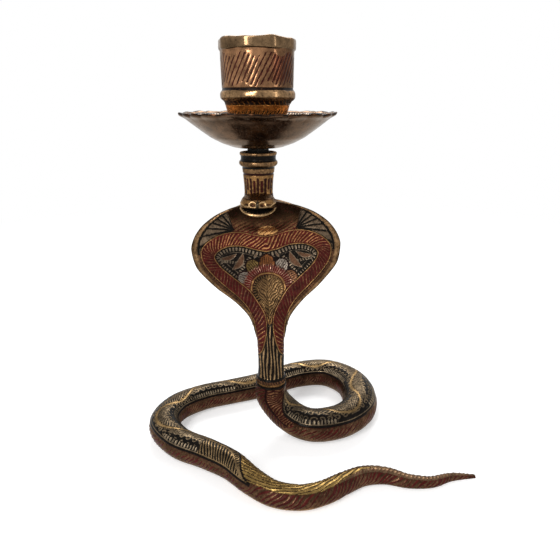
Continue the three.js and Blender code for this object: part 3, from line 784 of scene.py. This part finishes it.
# The black field: teeth along its border, and leaves. Each leaf is how far out and up its middle is,
# its length, its width and its slope in degrees.
LEAVES = [(11.0, 52.2, 8.4, 2.8, -54), (15.2, 54.6, 7.4, 2.0, -12), (4.4, 54.9, 3.0, 1.0, -60)]
LEAF_BEND = 0.07
field = is_face & in_inner & (up > 24)
leaves = np.full(shape, NO_LINE)
for x, z, length, wide, slope in LEAVES:
    along, over = sloping(slope, out - x, up - z)
    leaf = (wide / 2) * (1 - (2 * along / length) ** 2) - np.abs(over - LEAF_BEND * along**2)
    leaves = np.maximum(leaves, leaf)
border_teeth = np.where(
    up > 53,
    teeth(run_inner, to_inner, 0.7, 2.2, 1.45, 0.38),
    teeth(run_inner, to_inner, 0.7, 1.6, 1.2, 0.27),
)
second_line = 0.1 - np.abs(to_inner - 2.75)
along, over = sloping(-52, out - 9.3, up - 51.0)
leaf_teeth = np.where(np.abs(along) < 4.4, teeth(along, over, -0.65, 0.65, 1.1), NO_LINE)
along, over = (out - 15.4) * 0.97 + (up - 53.0) * 0.2, (up - 53.0) * 0.97 - (out - 15.4) * 0.2
low_teeth = np.where(np.abs(along) < 3.0, teeth(along, over, -0.55, 0.55, 1.1), NO_LINE)
drawn = np.maximum.reduce([leaves, border_teeth, second_line, leaf_teeth, low_teeth])
engrave(field, line=drawn, share=ALL_LAC, lac=0.0, tint=(0.175, 0.13, 0.088), grime=0.3)
engrave(field & (leaves > 0.24), tint=(0.12, 0.06, 0.034), grime=0.5)
# The palmette: five petals round the top of the medallion, with roots hatched in red. Each petal is
# how far out and up its middle is, its radius along and across, its slope, and its right and left tint.
PETALS = [
    (8.7, 45.6, 3.5, 2.7, 22, BROWN * 1.9, SILVER),
    (5.6, 50.0, 3.4, 2.8, 54, SILVER, OLIVE * 1.1),
    (0.0, 51.4, 3.7, 3.0, 90, COPPER * 0.85, COPPER * 0.85),
]
ROOT_DEGREES = 6.0
on_medallion = is_face & inside(medallion_line, right, up)
for x, z, long, wide, slope, right_tint, left_tint in PETALS:
    along, over = sloping(slope, out - x, up - z)
    petal = 1 - np.hypot(along / long, over / wide)
    on_petal = field & (petal > -0.12) & ~on_medallion
    edge = np.where(petal < 0, NO_LINE, np.maximum(NO_LINE, 0.28 - np.abs(petal * wide - 0.3)))
    petal_share = np.where(petal > 0, 0.74, ALL_LAC)
    petal_tint = np.where((right < 0)[..., None], left_tint, right_tint)
    engrave(on_petal, line=edge, stroke=over / 0.85, share=petal_share, lac=0.1, grime=0.8)
    engrave(on_petal, tint=petal_tint, lift=0.3 * smooth(petal, 0, 0.5))
roots = np.degrees(np.arctan2(right, up - 41.0)) / ROOT_DEGREES
on_roots = field & ~on_medallion & (up > 41.5) & (to_medallion < 2.9 + 1.1 * stroke_wave(roots))
engrave(on_roots, line=NO_LINE, stroke=roots, share=0.26, lac=1.0, tint=(0.30, 0.17, 0.11))
# The medallion: bare brass with a middle rib and veins, a row of teeth inside its raised edge.
rib = 0.22 - out
veins = (up - out * 1.2) / 1.45 + 2.2 * unsteady(up * 1.3, right * 2.1)
engrave(on_medallion, line=rib, stroke=veins, share=0.76, lac=0.1, tint=(0.175, 0.10, 0.042), grime=0.7)
toothed = on_medallion & (to_medallion > 0.5) & (to_medallion < 1.9) & (up > 36)
tooth_share = np.where(right > 0, 0.85, 0.5)
engrave(toothed, line=NO_LINE, stroke=run_medallion / 1.25, share=tooth_share, lac=0.0)
edge = 0.22 - np.abs(to_medallion - 0.1)
near_edge = is_face & (edge > -0.25) & (up > 27)
engrave(near_edge, line=edge, tint=GOLD * 0.8)
engrave(near_edge & (edge < 0), share=ALL_LAC, lac=0.6)
engrave(on_medallion, lift=0.35 * smooth(to_medallion, 0, 1.6))


def gold_line(where, line, lac_below, **values):
    """A gold line, with a thin edge of lac where it falls below that number."""
    near = where & (line > -0.3)
    engrave(near, line=line, **values)
    engrave(near & (line < lac_below), share=ALL_LAC)


# Gold lines on both edges of the band.
for distance in (to_outer, to_inner):
    gold_line(is_face, 0.19 - distance, -0.02, tint=GOLD * 0.72, grime=0.6)
# The throat: flutes in black and gold that part below the band's tips, down to the seam ring.
THROAT_TOP = 26.0
FLUTE_WIDTH = 1.42
RING_TOP = 3.0
flutes = is_face & (up < THROAT_TOP) & ~band & (to_outer > 0.5) & (to_inner > 0.5)
parting = 1 + 0.22 * smooth(up, 14, 24)
flute_strokes = right * parting / FLUTE_WIDTH + 0.5 + 0.16 * np.sin(up / 2.6 + right)
engrave(flutes, line=NO_LINE, stroke=flute_strokes, share=0.37, lac=0.0, tint=(0.33, 0.21, 0.105), grime=0.2)
# Behind: red lac with strokes that rise from the backbone, which has scales, and gold lines along it
# and inside the rim.
BACKBONE_HALF = 3.4
SCALE_PITCH = 2.4
behind = ~is_face & (up > RING_TOP)
rising = (up - out * 0.8) / 1.9
engrave(behind & (from_rim > RIM_WIDTH), stroke=rising, share=0.3, lac=1.0, tint=GOLD * 0.8, grime=0.5)
scales = np.hypot((out - 1.7 * ((up // SCALE_PITCH) % 2)) * 0.9, off_centre(up, SCALE_PITCH))
backbone = behind & (out < BACKBONE_HALF)
engrave(backbone, line=0.95 - scales, share=ALL_LAC, lac=0.0, tint=GREY_BRASS, grime=0.25)
for distance in (np.abs(out - BACKBONE_HALF - 0.2), np.abs(from_rim - RIM_WIDTH)):
    gold_line(behind, 0.34 - distance, 0, tint=GOLD)
# The seam ring at the foot of the throat: bare, with a gold line round it and a black line above it.
ring_strokes = right / 1.1 + up * 0.4
on_ring = up <= RING_TOP
engrave(on_ring, line=NO_LINE, stroke=ring_strokes, share=0.8, lac=0.0, tint=BROWN * 1.3, grime=0.7)
engrave((up > 0.5) & (up < 1.3), share=ALL_BARE, tint=GOLD)
engrave((up > RING_TOP - 0.3) & (up < RING_TOP + 0.5), **BLACK)
engrave(up < 0.15, **BLACK)

hood = cast("engraved_hood", hood_rings, hood_finish, red_lac_brass, depth=0.18)
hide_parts("cobra_hood")
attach(hood, "hood")


# Head. It juts forward from under the stem, cast in one with the hood and chased by hand: two ringed
# eyes, a ridge down the nose and an open mouth over a thick lower lip.
HEAD_HALF_WIDTH = 6.9
HEAD_HALF_LENGTH = 9.0
HEAD_HALF_HEIGHT = 4.7
HEAD_FORWARD = 5.2
SHOULDER = NECK_JOINT + HOOD_HEIGHT
HEAD_Z = SHOULDER - 1.4
HEAD_ROUND = 240
HEAD_ROWS = 130
MOUTH_Z = -0.9
MOUTH_HALF_HEIGHT = 1.3
MOUTH_HALF_WIDTH = 6.2
MOUTH_DEPTH = 2.6
LIP_DROP = 1.75

longitude = np.linspace(0, 2 * math.pi, HEAD_ROUND, endpoint=False)[None]
latitude = np.linspace(-math.pi / 2 + 0.01, math.pi / 2 - 0.01, HEAD_ROWS)[:, None]
flat_x, flat_y = np.cos(latitude) * np.sin(longitude), -np.cos(latitude) * np.cos(longitude)
unit = np.stack(np.broadcast_arrays(flat_x, flat_y, np.sin(latitude)), -1)
size = np.array([HEAD_HALF_WIDTH, HEAD_HALF_LENGTH, HEAD_HALF_HEIGHT])
# A little squarer than an egg.
head_points = unit * (1.15 - 0.15 * unit**2) * size
outward = unit / size
outward /= np.linalg.norm(outward, axis=-1)[..., None]
x, y, z = np.moveaxis(head_points, -1, 0)
front = smooth(-y, 0.5, 3.0)
mouth_z = MOUTH_Z + 0.015 * x**2
gape = MOUTH_HALF_HEIGHT * np.sqrt(np.clip(1 - (x / MOUTH_HALF_WIDTH) ** 2, 0, 1))
mouth = smooth(gape - np.abs(z - mouth_z), -0.2, 0.45) * front
lip_z = mouth_z - LIP_DROP + 0.03 * x**2
lip = crest(z - lip_z, 0.5) * front
upper_lip = crest(z - mouth_z - LIP_DROP, 0.4) * front
# Two pits on either side of the nose, the inner one ringed by a ridge that runs up to the brow.
inner_pit = np.hypot((np.abs(x) - 1.75) / 0.85, (z - 1.55) / 0.65)
outer_pit = np.hypot((np.abs(x) - 4.2) / 1.0, (z - 1.9 + 0.1 * np.abs(x)) / 0.55)
ridge = crest(inner_pit - 1.55, 0.35) * front * smooth(z, 1.1, 1.8)
sunken = smooth(np.minimum(inner_pit, outer_pit), 1.15, 0.5) * front
nose = crest(x, 0.55) * smooth(z, 0.2, 0.9) * smooth(z, 3.4, 2.2) * front
brow = crest(z - 3.2, 0.55) * front
raise_by = 0.3 * lip + 0.3 * upper_lip + 0.35 * ridge - 0.35 * sunken + 0.3 * nose - MOUTH_DEPTH * mouth
raise_by = raise_by + 0.3 * brow
head_rings = head_points + outward * raise_by[..., None] + np.array([0, -HEAD_FORWARD, HEAD_Z])

head_finish, engrave = plain_brass(head_rings.shape[:2], tint=BROWN, grime=0.7)
face = front > 0.5
engrave(face & (z > 0.2), tint=GOLD * 0.55, grime=0.9)
# The top of the head, under the stem, is painted darker: painted shade.
engrave(face & (z > 2.9), tint=BROWN * 0.7, grime=1.0)
engrave(face & (sunken > 0.5), tint=(0.05, 0.02, 0.012), grime=0.9)
# The lips and the ridges round the eyes are painted lighter: painted highlights on the raised parts.
engrave(face & (lip + upper_lip + ridge > 0.45), tint=(0.38, 0.24, 0.115), grime=0.4)
engrave(face & (nose > 0.35), tint=(0.045, 0.035, 0.022), grime=0.9)
# The open mouth is painted black inside: painted shade.
engrave(mouth > 0.35, **BLACK)
# The upper sides and back of the head, where the stem and hood meet it, are painted darker: painted shade.
engrave((front < 0.6) & (z > 0), tint=BROWN * 0.8, grime=1.0)
cheeks = (front < 0.6) & (np.abs(z) < 3.5)
engrave(cheeks, stroke=(y + z * 0.5) / 1.3, share=0.55, lac=0.5, tint=BROWN * 1.4, grime=1.0)

head = cast("cobra_head", head_rings, head_finish, red_lac_brass, depth=0.14)
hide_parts("cobra_hood")
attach(head, "hood")


# Stem. The round stem over the head carries the cup. Its mouth is turned, with a black groove between
# two beads, and engraved tongues of red lac hang below them.
STEM_RADIUS = 5.5
STEM_HEIGHT = 18.3
STEM_LIP_RADIUS = 7.2
STEM_MOUTH_WALL = 1.3
STEM_MOUTH_DEPTH = 3.9
STEM_TOP = SHOULDER + STEM_HEIGHT
STEM_SEGMENTS = 200
BUSH_RADIUS = 3.8
BUSH_LENGTH = 7.6
mouth_radius = STEM_LIP_RADIUS - STEM_MOUTH_WALL
mouth_floor = STEM_TOP - STEM_MOUTH_DEPTH
STEM_PROFILE = [
    (STEM_RADIUS + 1.2, SHOULDER - 5), (STEM_RADIUS + 0.5, SHOULDER - 1), (STEM_RADIUS, SHOULDER + 3),
    (STEM_RADIUS + 0.1, SHOULDER + 6), (STEM_RADIUS + 0.45, STEM_TOP - 8.6),
    (STEM_RADIUS + 0.8, STEM_TOP - 5.6), (STEM_LIP_RADIUS + 0.2, STEM_TOP - 4.7),
    (STEM_LIP_RADIUS + 0.2, STEM_TOP - 3.7), (STEM_LIP_RADIUS - 0.4, STEM_TOP - 2.7),
    (STEM_LIP_RADIUS - 0.3, STEM_TOP - 1.5), (STEM_LIP_RADIUS, STEM_TOP - 0.5),
    (STEM_LIP_RADIUS - 0.2, STEM_TOP), (mouth_radius, STEM_TOP), (mouth_radius, mouth_floor),
    (BUSH_RADIUS + GAP, mouth_floor), (BUSH_RADIUS + GAP, mouth_floor - BUSH_LENGTH),
]


def turned(profile, segments, spacing=0.25, soften=0.35):
    """The radius, level, turn and run of points round the stem's axis. They follow a profile of
    (radius, height) with its corners rounded."""
    profile = np.asarray(profile, float)
    run = running_total(np.hypot(*np.diff(profile, axis=0).T))
    even = np.linspace(0, run[-1], int(run[-1] / spacing) + 1)
    line = np.stack([np.interp(even, run, profile[:, n]) for n in (0, 1)], 1)
    passes = int((soften / spacing) ** 2 * 2) + 1
    for _ in range(passes):
        line[1:-1] = (line[:-2] + 2 * line[1:-1] + line[2:]) / 4
    around = np.linspace(0, 2 * math.pi, segments, endpoint=False)
    return np.broadcast_arrays(line[:, :1], line[:, 1:], around[None], even[:, None])


TONGUES = 12
TONGUE_TOP, TONGUE_END = 8.6, 15.8
SLIT_EDGE = 0.66
radius, z, turn, run = turned(STEM_PROFILE, STEM_SEGMENTS)
below = STEM_TOP - z
stem_finish, engrave = plain_brass(radius.shape, tint=(0.22, 0.125, 0.058), grime=0.9)
tongue_phase = turn / (2 * math.pi) * TONGUES
tongue = stroke_wave(tongue_phase)
on_tongues = (below > TONGUE_TOP) & (below < TONGUE_END) & (radius > STEM_RADIUS - 0.5)
engrave(on_tongues, stroke=tongue_phase, share=0.66, lac=0.3, tint=GOLD * 0.8, grime=0.6)
engrave(on_tongues & (below < TONGUE_TOP + 1), share=ALL_BARE)
engrave(on_tongues, lift=0.18 * (tongue - 0.5) * smooth(below, TONGUE_TOP, 10.2))
# Each tongue has a slit down its middle, cut by eye, so that no two are alike.
number = np.floor(tongue_phase)
slit_top, slit_end = 10.2 + 0.5 * np.sin(number * 2.4), 14.4 + 0.7 * np.sin(number * 1.7)
slit = on_tongues & (tongue > SLIT_EDGE) & (below > slit_top) & (below < slit_end)
engrave(slit, stroke=0.0, share=1 - 1.4 * smooth(tongue, SLIT_EDGE, 0.8), lac=0.5)
# The groove between the beads, and the dark lines under the lower bead and over the tongues.
GROOVE_TOP, GROOVE_END = 1.1, 3.3
engrave((below > GROOVE_TOP) & (below < GROOVE_END) & (radius > STEM_LIP_RADIUS - 1), **BLACK)
for line_top, line_end, lac in ((5.4, 6.0, 0.0), (7.8, 8.5, 0.3)):
    dark_line = (below >= line_top) & (below < line_end) & (radius > STEM_RADIUS)
    engrave(dark_line, share=ALL_LAC, lac=lac)
# The shaded part under the tongues, and the inside of the mouth, which is painted black: painted shade under
# the pan, and tarnish.
engrave(below > TONGUE_END, stroke=tongue_phase * 2 + below * 0.6, share=0.3, lac=0.4, tint=BROWN)
in_mouth = (radius < mouth_radius + 0.3) & (below > 0.4) & (radius > BUSH_RADIUS) & (run > 25)
engrave(in_mouth, **BLACK, grime=1.0)

stem = cast("stem", ringed(radius, z, turn), stem_finish, red_lac_brass, capped=False)
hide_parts("cobra_hood")
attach(stem, "hood")


# Stem bush. A turned brass bush pressed into the stem, tapped for the cup's stud. Only its top shows.
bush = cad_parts["stem_bush"]
bush.data.materials.clear()
bush_look = {"Tint": (*GOLD, 1), "Grime": 0.7, "Polish": 0.4}
bush.data.materials.append(bare_metal("bush_brass", aged_brass, 0.04, bush_look))


# Cup stud. Threaded steel rod that joins the cup to the stem, screwed fast in the cup.
cup_stud = threaded_rod("cup_stud_thread", "cup_stud", 0.8)
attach(cup_stud, "cup_lift")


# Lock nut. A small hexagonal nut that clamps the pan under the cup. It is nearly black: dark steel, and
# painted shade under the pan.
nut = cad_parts["lock_nut"]
nut.data.materials.clear()
nut_colours = {"Colour": (0.010, 0.009, 0.008, 1), "Edge Colour": (0.05, 0.042, 0.034, 1)}
nut.data.materials.append(bare_metal("nut_steel", worn_steel, STEEL_BUMP, nut_colours))


# Drip pan. A shallow dish of brass sheet, spun to shape, with a rim cut in scallops. It is polished
# below and engraved above with strokes that run out from the cup.
PAN_RADIUS = 29.6
PAN_WALL = 1.2
PAN_DEPTH = 12.3
PAN_HOLE = 2.8
SCALLOPS = 24
SCALLOP_DEPTH = 0.9
SCALLOPS_START = 0.85
# The underside's curve, from the hole out, in shares of the pan's radius and depth.
PAN_CURVE = [
    (0.15, 0), (0.31, 0.04), (0.46, 0.165), (0.6, 0.335),
    (0.74, 0.575), (0.84, 0.755), (0.915, 0.89), (1, 0.985),
]
PAN_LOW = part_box("drip_pan")[0].z / MM
PAN_SEGMENTS = 480
PAN_STROKES = 132
PAN_BROWN = (0.15, 0.086, 0.05)
WARM_EDGE = (0.80, 0.74, 0.68, 1)

underside = [(PAN_HOLE, 0)] + [(a * PAN_RADIUS, b * PAN_DEPTH) for a, b in PAN_CURVE]
upper = [(x, level + PAN_WALL) for x, level in reversed(underside)]
pan_profile = [(x, level + PAN_LOW) for x, level in underside + upper + underside[:1]]
radius, z, turn, run = turned(pan_profile, PAN_SEGMENTS, spacing=0.42, soften=0.5)
lobe = np.abs(np.cos(turn * SCALLOPS / 2 + 0.5 * np.sin(3 * turn + 1) + 0.3 * np.sin(5 * turn)))
at_rim = smooth(radius, PAN_RADIUS * SCALLOPS_START, PAN_RADIUS)
uneven = 0.35 * np.sin(3 * turn + 0.7) + 0.25 * np.sin(7 * turn + 2.0) + 0.2 * np.sin(13 * turn)
cut_radius = radius * (1 - SCALLOP_DEPTH / PAN_RADIUS * (1 - lobe) * at_rim)
cut_z = z + at_rim * (0.28 * (lobe - 0.6) + 0.32 * uneven)
half_run = run.max() / 2
is_top = run > half_run
pan_finish, engrave = plain_brass(radius.shape, tint=PAN_BROWN, grime=0.12)
spokes = turn / (2 * math.pi) * PAN_STROKES
engraved = is_top & (radius < PAN_RADIUS * 0.94) & (radius > 9)
engrave(engraved, stroke=spokes + radius * 0.22, share=0.6, lac=0.35, tint=(0.38, 0.29, 0.22), grime=0.3)
for circle in (12.5, 19.5, PAN_RADIUS * 0.93):
    engrave(is_top & (np.abs(radius - circle) < 0.45), share=ALL_LAC, lac=0.1)
rim = np.abs(run - half_run) < 1.1
engrave(rim, stroke=spokes * 0.31, share=0.5, lac=0.0, tint=BROWN * 0.6, grime=0.9)

pan_brass = engraved_finish("pan_brass", 0.17, 0.25, 0.012, WARM_EDGE)
pan = cast("scalloped_pan", ringed(cut_radius, cut_z, turn), pan_finish, pan_brass, depth=0.1, capped=False)
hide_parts("drip_pan")
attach(pan, "cup")


# Candle cup. Turned from a casting and hammered a little out of round: a broad mouth band, a wall with
# slanted strokes in red lac, a half-round ring, and a foot that narrows into the pan.
CUP_BORE_RADIUS = 11.25
CUP_WALL = 2.2
CUP_BAND = 0.55
CUP_BAND_HEIGHT = 3.8
CUP_BORE_DEPTH = 22.0
CUP_FOOT_HEIGHT = 14.5
CUP_FOOT_RADIUS = 7.0
CUP_RING = 0.75
CUP_RING_TOP = 4.8
CUP_STUD_HOLE = 2.8
CUP_STUD_DEPTH = 7.8
CUP_SEGMENTS = 300
WALL_STROKES = 46
WALL_TWIST = 3.9
WALL_LOBES = 9
FOOT_LOBES = 12
RING_CUTS = 40
CUP_GREY = np.array((0.24, 0.122, 0.060))
CUP_RED = np.array((0.15, 0.04, 0.021))
PAINTED_LIGHT_SIDE = math.radians(-110)
cup_floor, cup_top = CUP_FOOT_HEIGHT, CUP_FOOT_HEIGHT + CUP_BORE_DEPTH
wall = CUP_BORE_RADIUS + CUP_WALL
low_wall = wall - 0.4
cup_profile = [
    (0.05, CUP_STUD_DEPTH), (CUP_STUD_HOLE, CUP_STUD_DEPTH), (CUP_STUD_HOLE, 0), (CUP_FOOT_RADIUS, 0),
    (CUP_FOOT_RADIUS + 1.4, 3.0), (CUP_FOOT_RADIUS + 2.8, 7.0), (low_wall - 2.4, cup_floor - 4.5),
    (low_wall - 1.1, cup_floor - 0.4), (low_wall - 0.5, cup_floor + 0.9),
    (low_wall + CUP_RING, cup_floor + 1.9), (low_wall + CUP_RING, cup_floor + 3.9),
    (low_wall, cup_floor + CUP_RING_TOP), (wall, cup_top - CUP_BAND_HEIGHT),
    (wall + CUP_BAND, cup_top - CUP_BAND_HEIGHT), (wall + CUP_BAND, cup_top - 0.4),
    (wall + CUP_BAND - 0.4, cup_top), (CUP_BORE_RADIUS, cup_top), (CUP_BORE_RADIUS, cup_floor),
    (0.05, cup_floor),
]
CUP_LOW = cup_low.z / MM
cup_profile = [(x, level + CUP_LOW) for x, level in cup_profile]
radius, z, turn, run = turned(cup_profile, CUP_SEGMENTS, spacing=0.3, soften=0.3)
level = z - CUP_LOW
around = turn / (2 * math.pi)
outside = radius > CUP_BORE_RADIUS + 0.6
hammered = 0.13 * np.sin(5 * turn + 1.0) + 0.07 * np.sin(9 * turn + level * 0.15)
hammered = hammered + 0.02 * np.sin(17 * turn + 2.0)
cup_finish, engrave = plain_brass(radius.shape, tint=CUP_GREY, grime=0.35)
# The wall: slanted strokes between scalloped edges, with red lac left on two sides of it.
wall_share = (level - cup_floor - CUP_RING_TOP) / (CUP_BORE_DEPTH - CUP_BAND_HEIGHT - CUP_RING_TOP)
wall_strokes = around * WALL_STROKES - (wall_share - 0.5) * WALL_TWIST
lobed = 0.06 * np.sin(turn * WALL_LOBES)
stroked = outside & (wall_share > 0.12 + lobed) & (wall_share < 0.86 + lobed)
engrave(stroked, stroke=wall_strokes, share=0.66, lac=0.45, grime=0.3)
reddened = 0.75 * smooth(np.sin(2 * turn + 2.6) + 0.3 * np.sin(5 * turn), 0, 1) * smooth(wall_share, 0.1, 0.3)
engrave(stroked & (reddened > 0), tint=CUP_GREY + reddened[..., None] * (CUP_RED - CUP_GREY))
# Painted light and shade: the cup is tinted lighter on the side towards the front-left lamp and on the side
# opposite, and darker on the sides between.
cup_finish["tint"] *= (1 + 0.5 * np.cos(2 * (turn - PAINTED_LIGHT_SIDE)))[..., None]
engrave(outside & (wall_share > -0.02) & (wall_share <= 0.05), share=ALL_LAC, lac=0.05)
# The mouth band and the ring are bare.
on_band = outside & (level > cup_top - CUP_BAND_HEIGHT)
engrave(on_band, tint=(0.18, 0.112, 0.058), grime=0.45, lift=hammered * 1.7)
on_ring = outside & (level > cup_floor + 1.1) & (level < cup_floor + 4.5)
engrave(on_ring, tint=(0.34, 0.205, 0.10), grime=0.8)
# The foot: bright yellow brass, hatched in black up to a scalloped edge.
on_foot = (radius > 3.5) & (level < cup_floor + 0.9) & outside | ((level < cup_floor - 0.5) & (radius > 6.5))
engrave(on_foot, tint=(0.9, 0.36, 0.085), grime=0.3)
hatched = on_foot & (level < 11.8 + 0.8 * stroke_wave(around * FOOT_LOBES)) & (level > 2)
engrave(hatched, stroke=around * WALL_STROKES - level * 0.35, share=0.6, lac=0.0)
# A dark line under the ring, and a dull bore.
under_ring = outside & (level > cup_floor - 0.6) & (level <= cup_floor + 1.1)
engrave(under_ring, stroke=around * RING_CUTS + level * 0.4, share=0.1, lac=0.05)
bore = (radius <= CUP_BORE_RADIUS + 0.3) & (level >= cup_floor - 0.1)
engrave(bore, tint=BROWN * 1.2, grime=0.9)
# Below its band too the wall is hammered out of round, a little less.
engrave(outside & ~on_band & (level > cup_floor), lift=hammered * 1.1)

cup_brass = engraved_finish("cup_brass", 0.11, 0.3, 0.012, WARM_EDGE)
cup = cast("hammered_cup", ringed(radius, z, turn), cup_finish, cup_brass, depth=0.12, capped=False)
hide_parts("candle_cup")
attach(cup, "cup")
